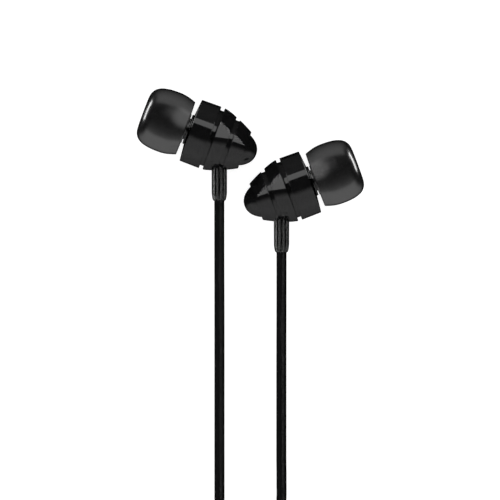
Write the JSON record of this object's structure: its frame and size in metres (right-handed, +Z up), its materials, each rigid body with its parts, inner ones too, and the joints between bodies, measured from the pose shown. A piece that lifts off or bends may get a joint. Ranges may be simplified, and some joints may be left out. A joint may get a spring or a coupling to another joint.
{
  "type": "wired earphones",
  "caption": "Wired in-ear earphones with ribbed bullet housings, pull-off silicone tips, a Y-split cord wound and tied for storage, and a jack plug.",
  "frame": {"origin": "on the surface the earphones lie on, under the middle of the box round both earphones without their cords", "axes": "+Z up from that surface; +X from the left earphone to the right one; the cords leave along -Y"},
  "size_m": [0.0461, 0.1842, 0.0125],
  "materials": {
    "gloss_black": "gloss",
    "silicone": "satin",
    "rubber": "matt",
    "cord": "satin",
    "tie": "matt",
    "mesh_steel": "woven mesh",
    "steel": "satin",
    "magnet": "nickel plated",
    "copper": "enamelled wire",
    "film": "thin film",
    "foam": "open foam",
    "board": "solder mask",
    "crimp": "satin",
    "lead_red": "enamelled wire",
    "lead_green": "enamelled wire",
    "plug_metal": "gold plated",
    "insulator": "moulded"
  },
  "bodies": {
    "root": {"left_boot": "rubber", "left_cord": "cord", "left_cord_stop": "crimp", "left_cord_tail": "cord", "left_driver_cover": "steel", "left_driver_frame": "steel", "left_driver_gasket": "foam", "left_front_shell": "gloss_black", "left_live_lead": "lead_red", "left_magnet": "magnet", "left_nozzle_screen": "mesh_steel", "left_rear_cap": "gloss_black", "left_rear_shell": "gloss_black", "left_return_lead": "lead_green", "left_terminal_board": "board", "left_top_plate": "steel", "left_yoke": "steel", "main_coil_tie": "tie", "main_cord_coil": "cord", "main_cord_lead": "cord", "main_cord_tail": "cord", "plug_boot": "rubber", "plug_front_insulator": "insulator", "plug_grip": "gloss_black", "plug_rear_insulator": "insulator", "plug_ring": "plug_metal", "plug_sleeve": "plug_metal", "plug_tip": "plug_metal", "right_boot": "rubber", "right_cord": "cord", "right_cord_stop": "crimp", "right_cord_tail": "cord", "right_driver_cover": "steel", "right_driver_frame": "steel", "right_driver_gasket": "foam", "right_front_shell": "gloss_black", "right_live_lead": "lead_red", "right_magnet": "magnet", "right_nozzle_screen": "mesh_steel", "right_rear_cap": "gloss_black", "right_rear_shell": "gloss_black", "right_return_lead": "lead_green", "right_terminal_board": "board", "right_top_plate": "steel", "right_yoke": "steel", "upper_coil_tie": "tie", "upper_cord_coil": "cord", "y_split": "rubber", "y_split_boot": "rubber"},
    "left_diaphragm_unit": {"left_diaphragm": "film", "left_voice_coil": "copper"},
    "left_tip": {"left_ear_tip": "silicone"},
    "right_diaphragm_unit": {"right_diaphragm": "film", "right_voice_coil": "copper"},
    "right_tip": {"right_ear_tip": "silicone"}
  },
  "joints": [
    {"name": "left_tip_pull", "type": "slide", "parent": "root", "child": "left_tip", "axis": [-0.9373, 0.3486, 0], "range_m": [0, 0.009]},
    {"name": "left_diaphragm_travel", "type": "slide", "parent": "root", "child": "left_diaphragm_unit", "axis": [-0.9373, 0.3486, 0], "range_m": [-0.0002, 0.0002], "stiffness_N_per_m": 400},
    {"name": "right_tip_pull", "type": "slide", "parent": "root", "child": "right_tip", "axis": [0.9373, 0.3486, 0], "range_m": [0, 0.009]},
    {"name": "right_diaphragm_travel", "type": "slide", "parent": "root", "child": "right_diaphragm_unit", "axis": [0.9373, 0.3486, 0], "range_m": [-0.0002, 0.0002], "stiffness_N_per_m": 400}
  ]
}
